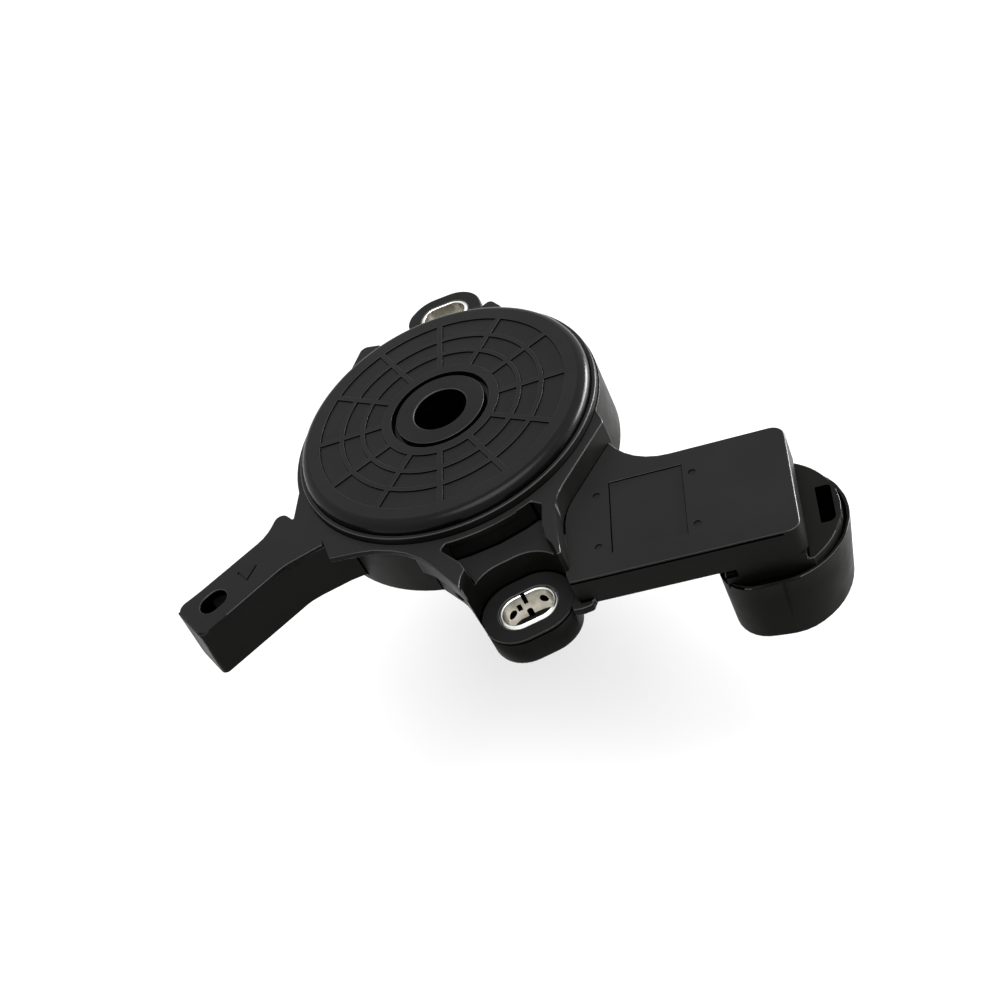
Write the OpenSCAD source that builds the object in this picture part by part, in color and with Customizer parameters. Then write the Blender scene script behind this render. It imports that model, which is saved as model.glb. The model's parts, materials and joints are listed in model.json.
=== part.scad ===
// Transmission position sensor of an automatic gearbox.
// The gearbox's manual shaft passes through the rotor, and two bolts pass through the oblong bushings.
// Origin: shaft axis at the mounting plane. +Z points out of the ribbed cover, -Y to the front ear.

/* [Heights above the mounting plane] */
// Underside of the drum
drum_base_z = 3.9; // [3:0.1:5]
// Thickness of the drum floor
drum_floor_t = 2.0; // [1.5:0.1:2.6]
// Top face of both ears
ear_z = 7.7; // [7:0.1:8.6]
// Top face of the arm box and of the pocket floors
deck_z = 13.9; // [13.2:0.1:14.6]
// Rise from the deck to the flange plate
plate_rise = 5.5; // [5:0.1:6]
// Thickness of the flange plate
plate_t = 1.4; // [1.1:0.1:1.8]
// Lip of the plate over the front ear's root
plate_lip = 0.6; // [0.3:0.1:0.8]
// Rise of the drum's rim ring above the plate
ring_rise = 1.8; // [1.2:0.1:2.4]
// Rise of the cover face above the rim ring
cover_rise = 2.6; // [2:0.1:3]

/* [Drum and cover] */
// Outer radius of the drum
drum_r = 35.5; // [35:0.1:36.5]
// Wall of the drum at the cover's seat
drum_wall = 2.2; // [2:0.1:2.6]
// Radius of the flange plate
plate_r = 36.9; // [36.6:0.1:37.6]
// Wall left outside the cover
ring_wall = 1.0; // [0.9:0.1:1.5]
// Depth to which the cover's skirt sinks below the rim ring
cover_skirt = 2.8; // [2:0.1:3.4]
// Thickness of the cover's skirt
skirt_t = 1.6; // [1.2:0.1:2]
// Thickness of the cover's plate
cover_t = 2.4; // [2:0.1:3]
// Radius of the rounded edge of the cover
cover_round = 2.2; // [1:0.1:2.4]
// Gap between the cover and the drum's ring
cover_gap = 0.1; // [0.05:0.01:0.15]

/* [Cover pattern] */
// Inner and outer radii of the three rings of pads
pad_inner_r = 13.9; // [13.5:0.1:14.4]
// Radial width of a pad of the inner ring
pad_w_1 = 4.15; // [3.8:0.05:4.4]
// Radial width of a pad of the middle ring
pad_w_2 = 4.05; // [3.6:0.05:4.3]
// Radial width of a pad of the outer ring
pad_w_3 = 4.8; // [4:0.05:5]
// Width of the ring-shaped ribs between the pads
pad_land = 1.05; // [0.8:0.05:1.2]
// Width of the straight ribs
rib_w = 1.25; // [0.8:0.05:1.6]
// Number of straight ribs
rib_n = 12; // [8:1:16]
// Angle of the first straight rib
rib_a = 15.6; // [0:0.1:30]
// Depth of the pads
pad_depth = 0.4; // [0.2:0.05:0.6]

/* [Rotor] */
// Radius of the bore for the manual shaft
bore_r = 6.2; // [5.5:0.1:6.6]
// Length of the round part of the bore at the cover's side
bore_top = 3.2; // [2.6:0.1:4]
// Length of the round part of the bore at the gearbox's side
bore_low = 5.0; // [4:0.1:6]
// Distance between the two flats of the bore
bore_flats = 9.6; // [9:0.1:10.4]
// Radius of the neck that shows inside the cover
neck_r = 10.45; // [9.8:0.05:10.6]
// Radius of the lower neck
low_neck_r = 9.0; // [8.5:0.1:9.4]
// Radius of the rotor's disc
disc_r = 28.5; // [27:0.1:30]
// Thickness of the rotor's disc
disc_t = 2.0; // [1.6:0.1:2.4]
// Radial running clearance of both bearings
run_gap = 0.05; // [0.03:0.01:0.08]
// Width of the open groove round the neck
groove_w = 1.2; // [0.9:0.05:1.4]
// Depth of the open groove round the neck
groove_depth = 2.0; // [1.5:0.1:2.4]

/* [Seals and washers] */
// Radial width of both seals
seal_w = 2.4; // [1.8:0.1:2.6]
// Height of both seals
seal_h = 1.6; // [1.2:0.1:1.8]
// Thickness of the thrust washer
washer_t = 0.5; // [0.4:0.05:0.8]
// Thickness of the wave washer's sheet
wave_t = 0.35; // [0.25:0.05:0.5]
// Height that the wave washer fills
wave_h = 1.3; // [1:0.1:1.6]

/* [Ears and bushings] */
// Distance of the front ear's slot from the shaft axis
front_ear_r = 50.7; // [49:0.1:53]
// Distance of the rear ear's slot from the shaft axis
rear_ear_r = 55.8; // [54:0.1:58]
// Angle of the rear ear
rear_ear_a = 81.1; // [79:0.1:83]
// Length of a bushing across both round ends
bush_l = 12.9; // [12.4:0.1:13.6]
// Width of a bushing
bush_w = 9.0; // [8.6:0.1:9.2]
// Sheet thickness of a bushing
bush_t = 1.0; // [0.8:0.05:1.2]
// Height of a bushing above the ear's face
bush_proud = 0.15; // [0.05:0.05:0.3]
// Plastic left round a bushing
ear_wall = 3.4; // [2.8:0.1:3.6]
// Gap between an ear's outline and the wall of the cut above it
ear_cut_gap = 0.5; // [0.3:0.1:0.8]
// Width of a bushing's seam
seam_w = 0.8; // [0.6:0.1:1.2]

/* [Slotted arm] */
// Direction of the slotted arm
arm_a = 202.4; // [200:0.1:205]
// Distance of the arm's end from the shaft axis
arm_end = 70.9; // [69:0.1:72]
// Lean of the arm's end face, outward at the bottom
arm_lean = 1.2; // [0.6:0.1:1.6]
// Offset of the arm's rear edge from the line to its end
arm_rear = 10.5; // [9.9:0.1:11]
// Offset of the arm's front edge from the line to its end
arm_front = 1.5; // [1.0:0.1:1.9]
// Underside of the arm above the mounting plane
arm_base_z = 6.5; // [5.6:0.1:7.2]
// Wall thickness of the arm's channel
arm_wall = 2.0; // [1.6:0.1:2.4]
// Direction of the slot's centre from the shaft axis
arm_slot_a = 198.0; // [197:0.1:199]
// Distance of the slot's centre from the shaft axis
arm_slot_r = 64.2; // [62:0.1:65]
// Length of the slot
arm_slot_l = 6.6; // [6:0.1:7.4]
// Width of the slot
arm_slot_w = 5.0; // [4.4:0.1:5.2]

/* [Arm box] */
// Direction of the arm box
box_a = -17.0; // [-19:0.1:-15]
// Distance of the box end from the shaft axis, along the arm
box_end = 71.7; // [70:0.1:73]
// Offset of the box's centre line from the shaft axis
box_off = -35.8; // [-36.6:0.1:-35]
// Width of the box
box_w = 28.8; // [27.6:0.1:30]
// Underside of the box above the mounting plane
box_base_z = 6.5; // [6:0.1:6.8]
// Wall thickness of the box
box_wall = 1.8; // [1.4:0.1:2.2]
// Thickness of the box lid
lid_t = 1.4; // [1:0.1:1.6]
// Gap between the lid and its opening
lid_gap = 0.1; // [0.05:0.05:0.2]
// Distance of the recessed panel from the shaft axis, along the arm
panel_start = 34.7; // [34:0.1:36]
// Length of the recessed panel
panel_l = 15.5; // [12:0.1:16]
// Width of the recessed panel
panel_w = 19.4; // [16:0.1:20]
// Distance of the lid from the shaft axis, along the arm
lid_start = 30.5; // [30:0.1:31.5]
// Length of the lid's opening
lid_l = 18; // [16:0.1:18.6]
// Depth of the recessed panel
panel_depth = 0.3; // [0.2:0.05:0.5]

/* [Connector] */
// Radius of the hood's rounded end, which is also half its width
hood_r = 15.6; // [15.2:0.1:16]
// Distance of the hood's inner side from the shaft axis, along the arm
hood_start = 53.1; // [52.4:0.1:53.8]
// Distance of the rounded end's centre from the shaft axis, along the arm
hood_mid = 64.9; // [64.4:0.1:65.4]
// Corner radius of the hood's inner side
hood_corner = 7.5; // [5:0.5:8]
// Wall thickness of the hood
hood_wall = 1.6; // [1.3:0.1:2]
// Distance from the box's middle line to the hood's
hood_shift = -1.4; // [-1.8:0.1:-1]
// How far the hood's round end leans in towards the mouth, in degrees
hood_lean = 8; // [4:0.5:10]
// Thickness of the hood's rim
hood_rim_t = 0.7; // [0.6:0.1:0.9]
// Radius of the round end of the plate inside the rim
hood_plate_r = 15.7; // [15.4:0.1:15.8]
// Distance of the middle of the plate's round end along the box
hood_plate_mid = 63.4; // [63.2:0.1:63.6]
// Rim of the hood above the mounting plane
hood_rim_z = 2.6; // [2:0.1:3.2]
// Mouth of the hood below the mounting plane
hood_mouth = 14.2; // [12:0.1:16]
// Height of the connector's top plate above the rim
hood_plate_rise = 2.2; // [1.6:0.1:2.8]
// Distance of the moat at the hood's tip from its middle line to its front end
moat_front = 12; // [11:0.2:12]
// Distance of that moat from the middle line to its rear end
moat_rear = 8.2; // [6:0.2:11]
// Depth of the moat below the rim
moat_depth = 1.2; // [0.8:0.1:1.6]
// Thickness of the connector's ceiling under the moat
ceiling_t = 1.4; // [1:0.1:2]
// Length of the latch window, along the box end
window_l = 9.8; // [8:0.1:11]
// Width of the latch window
window_w = 3.1; // [2.4:0.1:3.2]
// Large corner radius of the latch window
window_corner = 1.5; // [0.5:0.1:1.5]

/* [Terminals and circuit board] */
// Number of terminals in each of the two rows
pin_n = 5; // [4:1:5]
// Spacing of the terminals in a row
pin_pitch = 4.4; // [4:0.1:4.8]
// Distance between the two rows
pin_row = 6.0; // [5:0.1:7]
// Thickness of a square terminal
pin_t = 1.0; // [0.8:0.05:1.2]
// Length of a terminal inside the hood
pin_reach = 9.0; // [7:0.1:10]
// Thickness of the circuit board
board_t = 1.2; // [1:0.1:1.6]
// Top of the circuit board above the mounting plane
board_z = 9.8; // [9.6:0.1:10.2]
// Radial gap between the board and the walls round it
board_gap = 0.5; // [0.3:0.1:0.8]
// Radius of the posts under the board
post_r = 2.0; // [1.6:0.1:2.4]
// Radius of the pins on the posts
post_pin_r = 0.9; // [0.7:0.1:1.1]
// Gap between a pin and its hole in the board
post_gap = 0.1; // [0.05:0.05:0.2]

/* [Magnets] */
// Inner radius of the magnets
magnet_r = 20.0; // [19:0.1:21]
// Radial width of the magnets
magnet_w = 6.0; // [5:0.1:7]
// Thickness of the magnets
magnet_t = 1.6; // [1.2:0.1:1.8]
// Angle that one magnet spans
magnet_span = 22; // [18:1:26]
// Gap between a magnet and its pocket
magnet_gap = 0.05; // [0.03:0.01:0.1]

/* [Hidden] */

$fn = 96;
tiny = 0.01;
over = 1;
plate_z = deck_z + plate_rise;
ring_z = plate_z + ring_rise;
face_z = ring_z + cover_rise;
seat_z = ring_z - cover_skirt;
ring_r = drum_r - 0.3;
cover_r = ring_r - ring_wall - cover_gap;
floor_z = drum_base_z + drum_floor_t;
cavity_r = drum_r - drum_wall;
hub_top_z = floor_z + 2.1;
groove_r = neck_r + groove_w;
lip_h = 0.7;

// Rotor levels, from the thrust washer upwards
rotor_low_z = hub_top_z + washer_t;
disc_z = board_z + 2.9;
shoulder_z = cover_boss_z() - wave_h - 0.1;
function cover_boss_z() = face_z - cover_t - 3.4;

front_ear_a = -90;
ear_hl = bush_l / 2 + ear_wall;
ear_hw = bush_w / 2 + ear_wall;

hood_end = hood_mid + hood_r;
hood_top_z = hood_rim_z + hood_plate_rise;
hood_ceiling_z = hood_rim_z - moat_depth - ceiling_t;
pin_u = hood_start + (min(box_end - box_wall, hood_end - hood_wall) - hood_start) / 2 + 0.6;

// Outline helpers
function pol(r, a) = [r * cos(a), r * sin(a)];
function unit(v) = v / norm(v);
function cross2(a, b) = a[0] * b[1] - a[1] * b[0];
function xy(p) = [p[0], p[1]];

// Points of one rounded corner at p, between the directions to a and b
function corner(a, p, b, r) =
    let (u = unit(a - p), v = unit(b - p),
         half = acos(max(-1, min(1, u * v))) / 2,
         reach = r / tan(half),
         c = p + unit(u + v) * r / sin(half),
         s = p + u * reach - c,
         turn = (180 - 2 * half) * (cross2(u, v) > 0 ? -1 : 1),
         n = max(2, ceil(abs(turn) / 12)))
    [for (i = [0:n]) let (t = turn * i / n)
        c + [s[0] * cos(t) - s[1] * sin(t), s[0] * sin(t) + s[1] * cos(t)]];

// Closed outline from rows of [x, y, radius]
function outline(rows) =
    let (n = len(rows))
    [for (i = [0:n - 1])
        each (rows[i][2] > 0
            ? corner(xy(rows[(i + n - 1) % n]), xy(rows[i]), xy(rows[(i + 1) % n]), rows[i][2])
            : [xy(rows[i])])];

// Place along the arm box: u outward, v across
function along_box(u, v) =
    [u * cos(box_a) - v * sin(box_a), u * sin(box_a) + v * cos(box_a)];
// Place along the slotted arm: u outward, v across
function along_arm(u, v) =
    [u * cos(arm_a) - v * sin(arm_a), u * sin(arm_a) + v * cos(arm_a)];
function row(p, r = 0) = [p[0], p[1], r];

module slab(z0, z1) {
    translate([0, 0, z0]) linear_extrude(z1 - z0) children();
}

module obround(l, w) {
    half = (l - w) / 2;
    translate([-half, 0]) circle(d = w);
    translate([half, 0]) circle(d = w);
    square([2 * half, w], center = true);
}

module at_ear(r, a) {
    translate([r * cos(a), r * sin(a), 0]) rotate(a + 90) children();
}

module at_front_ear() {
    at_ear(front_ear_r, front_ear_a) children();
}

module at_rear_ear() {
    at_ear(rear_ear_r, rear_ear_a) rotate(180) children();
}

// Flange plate with the slotted arm, the two ribs of the front pocket and the right wing
module plate_outline(lip = 0) {
    rib_end = -front_ear_r;
    rows = [
        row(along_arm(arm_end, -arm_rear), 2.2),
        row(along_arm(arm_end, arm_front), 2.6),
        row(pol(plate_r + 11.3, 204.0), 10),
        row(pol(plate_r + 2.8, 208.4)),
        row(pol(plate_r + 2.1, 207.8)),
        row(pol(plate_r + 4.7, 215.2), 0.4),
        row(pol(plate_r - 2.2 - lip, 238.9), 25),
        [-9.3 + lip, rib_end - 0.8, 0.8],
        [-7.0, rib_end - 0.4, 0.6],
        row(pol(plate_r + 6.5, 259.2), 8),
        row(pol(plate_r + 1.5, 253.0), 0.6),
        row(pol(plate_r - 0.2, -105.2)),
        row(pol(plate_r - 0.2, -100)),
        row(pol(plate_r - 0.2, -90)),
        row(pol(plate_r - 0.2, -80)),
        row(pol(plate_r - 0.2, -74.6)),
        row(pol(plate_r + 2.2, 287.1), 0.6),
        row(pol(plate_r + 7.4, 282.7), 10),
        [8.9, rib_end - 1.5, 0.6],
        [11.0, rib_end - 1.9, 0.6],
        row(pol(plate_r + 3.5, 290.1), 14),
        row(pol(plate_r + 1.2, 323.0), 0.8),
        row(pol(plate_r - 3.2, 333.6)),
        [0, 0, 0],
        row(pol(plate_r - 2, 160)),
        row(pol(plate_r + 0.4, 180.4), 8),
        row(pol(plate_r + 3.3, 189.7), 0.2),
        row(pol(plate_r + 5.3, 182.6), 1.9),
        row(pol(plate_r + 10.2, 189.6), 9)
    ];
    polygon(outline(rows));
}

// Left half of the plate's rim, between the slotted arm and the rear ear
module plate_rim() {
    intersection() {
        circle(r = plate_r);
        polygon([[0, 0], [10, -60], [-60, -60], [-60, 60], [-12, 60]]);
    }
}

// Deck: arm box and the root of the front ear, one level below the plate
module deck_outline() {
    rows = [
        [28, -14, 0],
        [31.4, -32.0, 14],
        row(along_box(box_end, box_off + box_w / 2), 3),
        row(along_box(box_end, box_off - box_w / 2), 2.4),
        [9.9, -55.6, 0],
        [9.9, -50.0, 0],
        [-8.8, -50.0, 0],
        [-11.4, -40.6, 6],
        [-15.6, -31.2, 8],
        [-20, -22, 0]
    ];
    polygon(outline(rows));
}

// Root of the front ear below the deck
module front_root() {
    rows = [
        [-ear_hl, -front_ear_r, 0],
        [-11.7, -39.6, 12],
        [-16.0, -30.8, 4],
        [-19, -20, 0],
        [22, -20, 0],
        [16, -34, 0],
        [ear_hl, -front_ear_r, 0]
    ];
    polygon(outline(rows));
}

// Root of the rear ear, drawn in the ear's own directions
module rear_root() {
    reach = rear_ear_r - drum_r + 6;
    rows = [
        [-ear_hl, 0, 0],
        [-ear_hl - 1.5, -12, 8],
        [-ear_hl - 7, -reach, 0],
        [ear_hl + 7, -reach, 0],
        [ear_hl + 1.5, -12, 8],
        [ear_hl, 0, 0]
    ];
    polygon(outline(rows));
}

// Plate-high lugs that show at both sides of the rear ear
module rear_lugs() {
    left = [
        row(pol(plate_r - 4, 122)),
        row(pol(plate_r - 4, 100)),
        row(pol(plate_r + 2.9, 101.9)),
        row(pol(plate_r + 6.1, 106.8), 2),
        row(pol(plate_r + 2.0, 115.2))
    ];
    right = [
        row(pol(plate_r - 4, 66)),
        row(pol(plate_r - 4, 52)),
        row(pol(plate_r + 1.4, 54.4)),
        row(pol(plate_r + 4.1, 59.8), 1.4),
        row(pol(plate_r + 1.0, 63.7))
    ];
    polygon(outline(left));
    polygon(outline(right));
}

// Hood outline with a margin taken off all round
module hood_outline(inset = 0, more = 0) {
    rotate(box_a) translate([0, box_off + hood_shift])
        round_ended(hood_start + inset - more, hood_mid, hood_r - inset, hood_corner - inset / 2);
}

// Outline with two rounded corners at its start and a half circle at its other end
module round_ended(start, mid, r, corner) {
    arc = [for (i = [0:24]) let (a = -90 + i * 180 / 24) [mid + r * cos(a), r * sin(a), 0]];
    rows = concat([[start, r, corner - 1], [start, -r, corner]], arc);
    polygon(outline(rows));
}

// Outline of the plate inside the rim, which the box's front face cuts off
module hood_plate_outline() {
    rotate(box_a) intersection() {
        translate([hood_plate_mid, box_off + hood_shift]) circle(hood_plate_r);
        translate([hood_start + hood_wall, box_off - box_w / 2]) square([hood_r * 2, box_w]);
    }
}

// The hood's body between two heights; its round end leans in towards the mouth
module hood_body(inset, low, top) {
    intersection() {
        slab(low, top) hood_outline(inset);
        rotate(box_a) translate([hood_end, 0, hood_rim_z]) rotate([0, hood_lean, 0])
            translate([-hood_end, 0, -hood_rim_z]) rotate(-box_a)
                slab(low - 4, top + 3) hood_outline(inset, 9);
    }
}

module arm_outline(inset) {
    reach = arm_end + arm_lean - inset;
    // the solid runs into the drum, and the hollow stops short of it
    root = inset > 0 ? drum_r + 1.2 : drum_r - 4;
    rows = [
        row(along_arm(reach, -arm_rear + 0.2 + inset), 1.6),
        row(along_arm(reach, arm_front - 0.2 - inset), 1.6),
        row(along_arm(47.6, arm_front - 0.1 - inset), 12),
        row(along_arm(38.4, 4.9 - inset)),
        row(along_arm(root, 8.6 - 2 * inset)),
        row(along_arm(root, -8.6 + inset)),
        row(along_arm(41, -8.6 + inset), 2),
        row(along_arm(45, -arm_rear + 0.5 + inset), 4)
    ];
    polygon(outline(rows));
}

// Side view of the arm between two heights, whose end face leans outward
module arm_side(inset, low, top) {
    foot = arm_end + arm_lean - inset;
    head = arm_end + 0.2 - inset;
    rotate(arm_a) translate([0, 20, 0]) rotate([90, 0, 0]) linear_extrude(40)
        polygon([[30, low], [foot, low], [head, top], [30, top]]);
}

module at_each_pin() {
    for (i = [0:pin_n - 1], j = [0, 1])
        pin_place(i, j) children();
}

module pin_place(i, j) {
    v = box_off + (i - (pin_n - 1) / 2) * pin_pitch;
    rotate(box_a) translate([pin_u + (j - 0.5) * pin_row, v, 0]) children();
}

// Posts under the board, with a pin that passes through it
module at_each_post() {
    for (a = [-92, -54, -16])
        rotate(a) translate([cavity_r - 4.5, 0, 0]) children();
    for (v = [-1, 1])
        rotate(box_a) translate([50.5, box_off + v * (box_w / 2 - box_wall - 3.2), 0]) children();
}

module housing_solid() {
    // drum and its rim ring
    translate([0, 0, drum_base_z]) cylinder(r = drum_r, h = plate_z - drum_base_z);
    translate([0, 0, plate_z - tiny]) cylinder(r = ring_r, h = ring_rise + tiny);
    // flange plate and slotted arm
    slab(plate_z - plate_t, plate_z) {
        plate_outline();
        plate_rim();
    }
    intersection() {
        slab(arm_base_z, plate_z - tiny) arm_outline(0);
        arm_side(0, arm_base_z, plate_z - plate_t / 2);
    }
    // the plate stands on the deck at the right and round the pocket
    intersection() {
        slab(deck_z - over, plate_z - tiny) plate_outline(plate_lip);
        translate([-17, -60, 0]) cube([60, 60, face_z]);
    }
    slab(box_base_z, deck_z) deck_outline();
    // front ear
    slab(drum_base_z, deck_z) front_root();
    // lug between the front ear and the arm box
    slab(box_base_z - 0.9, box_base_z + 1.1) polygon(outline([
        [8.7, -front_ear_r - 1, 0], [8.1, -front_ear_r - 6.1, 0], [9.9, -front_ear_r - 6.8, 0.6],
        [12.0, -front_ear_r - 7.0, 0.8], [14, -front_ear_r - 4.4, 0]]));
    at_front_ear() slab(0, ear_z) obround(2 * ear_hl, 2 * ear_hw);
    // rear ear
    at_rear_ear() slab(0, ear_z) obround(2 * ear_hl, 2 * ear_hw);
    at_rear_ear() slab(0, deck_z) rear_root();
    slab(deck_z - over, plate_z) rear_lugs();
    // connector
    hood_body(0, -hood_mouth, hood_rim_z);
    slab(hood_rim_z - moat_depth - tiny, hood_top_z) hood_plate_outline();
    slab(0, box_base_z + tiny) rotate(box_a) translate([hood_start + 4, box_off - box_w / 2])
        square([box_end - hood_start - 4.6, box_w]);
}

module housing() color([0.13, 0.13, 0.14]) {
    housing_shell();
    board_posts();
}

module housing_shell() difference() {
    housing_solid();
    // drum interior and the cover's seat
    translate([0, 0, floor_z]) difference() {
        cylinder(r = cavity_r, h = face_z);
        cylinder(r = neck_r + 3.2, h = hub_top_z - floor_z);
    }
    translate([0, 0, seat_z]) cylinder(r = cover_r + cover_gap, h = face_z);
    // lower bearing and seal pocket
    translate([0, 0, -over]) cylinder(r = low_neck_r + run_gap, h = face_z);
    translate([0, 0, -over]) cylinder(r = low_neck_r + seal_w + run_gap, h = over + drum_base_z + seal_h);
    // clearance for the bolt heads above both ears
    for (side = [0, 1]) {
        ear_clearance(side);
    }
    // bushing pockets
    at_front_ear() slab(-over, ear_z + over) obround(bush_l, bush_w);
    at_rear_ear() slab(-over, ear_z + over) obround(bush_l, bush_w);
    // slot and open underside of the arm
    translate([arm_slot_r * cos(arm_slot_a), arm_slot_r * sin(arm_slot_a), 0]) rotate(arm_a)
        slab(-over, face_z) obround(arm_slot_l, arm_slot_w);
    intersection() {
        slab(-over, plate_z) arm_outline(arm_wall);
        arm_side(arm_wall, 0, plate_z - plate_t - 0.6);
    }
    box_hollow();
    connector_hollow();
    // recessed panel on the deck
    translate([0, 0, deck_z - panel_depth]) rotate(box_a)
        translate([panel_start, box_off + 10.2 - panel_w, 0]) cube([panel_l, panel_w, over]);
}

module board_posts() {
    at_each_post() translate([0, 0, floor_z - tiny])
        cylinder(r = post_r, h = board_z - board_t - floor_z + tiny);
    at_each_post() translate([0, 0, floor_z])
        cylinder(r = post_pin_r, h = board_z + 0.6 - floor_z);
}

module ear_clearance(side) {
    l = bush_l + 2 * (ear_wall + ear_cut_gap);
    w = bush_w + 2 * (ear_wall + ear_cut_gap);
    if (side == 0) at_front_ear() slab(ear_z, plate_z + over) obround(l, w);
    if (side == 1) at_rear_ear() slab(ear_z, plate_z + over) {
        obround(l, w);
        translate([-l / 2 - 3, -w / 2 - 2]) square([l + 6, w + 12]);
    }
}

module box_hollow() {
    rows = [
        row(pol(cavity_r - 0.8, -68)),
        [14.6, -45.5, 2],
        row(along_box(29, box_off - box_w / 2 + box_wall), 2),
        row(along_box(box_end - box_wall, box_off - box_w / 2 + box_wall), 1.5),
        row(along_box(box_end - box_wall, box_off + box_w / 2 - box_wall), 1.5),
        row(along_box(40, box_off + box_w / 2 - box_wall), 8),
        row(pol(cavity_r - 0.8, -41))
    ];
    slab(board_z - board_t - 1.2, deck_z - 1.6) polygon(outline(rows));
    slab(-over, deck_z - 2) lid_shape(0);
}

// Opening in the underside of the box, in front of the connector
module lid_shape(inset) {
    rotate(box_a) translate([lid_start + inset, box_off - box_w / 2 + box_wall + 1 + inset])
        square([lid_l - 2 * inset, box_w - 2 * box_wall - 2 - 2 * inset]);
}

module connector_hollow() {
    // socket
    hood_body(hood_wall, -hood_mouth - over, hood_ceiling_z);
    // moat in front of the box, inside the rim
    slab(hood_rim_z - moat_depth, hood_rim_z + over) intersection() {
        hood_outline(hood_rim_t);
        rotate(box_a) translate([hood_start, box_off - box_w / 2 - hood_r]) square([hood_r * 2, hood_r]);
    }
    // moat round the plate at the tip
    slab(hood_rim_z - moat_depth, hood_top_z + over) intersection() {
        difference() {
            hood_outline(hood_rim_t);
            hood_plate_outline();
        }
        rotate(box_a) translate([box_end, box_off + hood_shift - moat_front])
            square([hood_r, moat_front + moat_rear]);
    }
    // latch window
    slab(hood_ceiling_z - over, hood_top_z + over) rotate(box_a)
        translate([hood_end - 5.8, box_off - 1.2]) polygon(outline([
            [0, -window_l / 2, 0.2],
            [window_w, -window_l / 2, window_corner],
            [window_w, window_l / 2, window_corner / 2],
            [0, window_l / 2, 0.2]]));
    // passages of the terminals
    at_each_pin() translate([0, 0, (hood_ceiling_z + board_z) / 2])
        cube([pin_t + 0.06, pin_t + 0.06, board_z - hood_ceiling_z + 2], center = true);
}

module top_cover() color([0.15, 0.15, 0.16]) difference() {
    rotate_extrude() polygon(cover_profile());
    // three rings of shallow pads between the ribs
    translate([0, 0, face_z - pad_depth]) difference() {
        for (k = [0:2]) pad_ring(k);
        for (i = [0:rib_n - 1]) rotate(rib_a + i * 360 / rib_n)
            translate([0, -rib_w / 2, -over]) cube([drum_r, rib_w, 3 * over]);
    }
}

function pad_start(k) = pad_inner_r + (k > 0 ? pad_w_1 + pad_land : 0) + (k > 1 ? pad_w_2 + pad_land : 0);

module pad_ring(k) {
    width = [pad_w_1, pad_w_2, pad_w_3][k];
    difference() {
        cylinder(r = pad_start(k) + width, h = over);
        translate([0, 0, -over]) cylinder(r = pad_start(k), h = 3 * over);
    }
}

function cover_profile() =
    let (edge = [for (t = [0:15:90])
            [cover_r - cover_round + cover_round * cos(t), face_z - cover_round + cover_round * sin(t)]])
    concat(
        [[groove_r, face_z], [groove_r, face_z - groove_depth],
         [neck_r + run_gap, face_z - groove_depth],
         [neck_r + run_gap, cover_boss_z() + seal_h],
         [neck_r + seal_w + run_gap, cover_boss_z() + seal_h],
         [neck_r + seal_w + run_gap, cover_boss_z()],
         [neck_r + seal_w + 2, cover_boss_z()],
         [neck_r + seal_w + 2, face_z - cover_t],
         [cover_r - skirt_t, face_z - cover_t],
         [cover_r - skirt_t, seat_z], [cover_r, seat_z]],
        edge);

module rotor() color([0.16, 0.16, 0.17]) difference() {
    rotate_extrude() polygon([
        [0, 0], [low_neck_r, 0],
        [low_neck_r, rotor_low_z], [neck_r + 2.6, rotor_low_z],
        [neck_r + 2.6, disc_z], [disc_r, disc_z], [disc_r, disc_z + disc_t],
        [neck_r + 3.4, disc_z + disc_t], [neck_r + 3.4, shoulder_z],
        [neck_r, shoulder_z], [neck_r, face_z], [0, face_z]]);
    // the bore is round at both ends, with two flats between them
    translate([0, 0, face_z - bore_top]) cylinder(r = bore_r, h = bore_top + over);
    translate([0, 0, -over]) cylinder(r = bore_r, h = bore_low + over);
    intersection() {
        cylinder(r = bore_r - 0.1, h = face_z);
        translate([-bore_flats / 2, -drum_r, 0]) cube([bore_flats, 2 * drum_r, face_z]);
    }
    for (k = [0:2]) magnet_shape(k, magnet_gap);
}

module magnet_shape(k, gap) {
    span = magnet_span + 2 * gap * 2.5;
    translate([0, 0, disc_z - tiny * (gap > 0 ? 1 : 0)])
        rotate(front_ear_a + 36 + (k - 1) * 40 - span / 2)
            rotate_extrude(angle = span)
                translate([magnet_r - gap, 0]) square([magnet_w + 2 * gap, magnet_t + gap]);
}

module magnet(k) color([0.3, 0.3, 0.32]) magnet_shape(k, 0);

module ring_of(r, w, z, h) {
    translate([0, 0, z]) difference() {
        cylinder(r = r + w, h = h);
        translate([0, 0, -over]) cylinder(r = r, h = h + 2 * over);
    }
}

module upper_seal() color([0.07, 0.07, 0.07])
    ring_of(neck_r + run_gap, seal_w - 0.02, cover_boss_z(), seal_h - 0.02);

module lower_seal() color([0.07, 0.07, 0.07])
    ring_of(low_neck_r + run_gap, seal_w - 0.02, drum_base_z, seal_h - 0.02);

module thrust_washer() color([0.8, 0.75, 0.6])
    ring_of(low_neck_r + 0.15, neck_r + 2.4 - low_neck_r - 0.15, hub_top_z, washer_t - 0.05);

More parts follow.
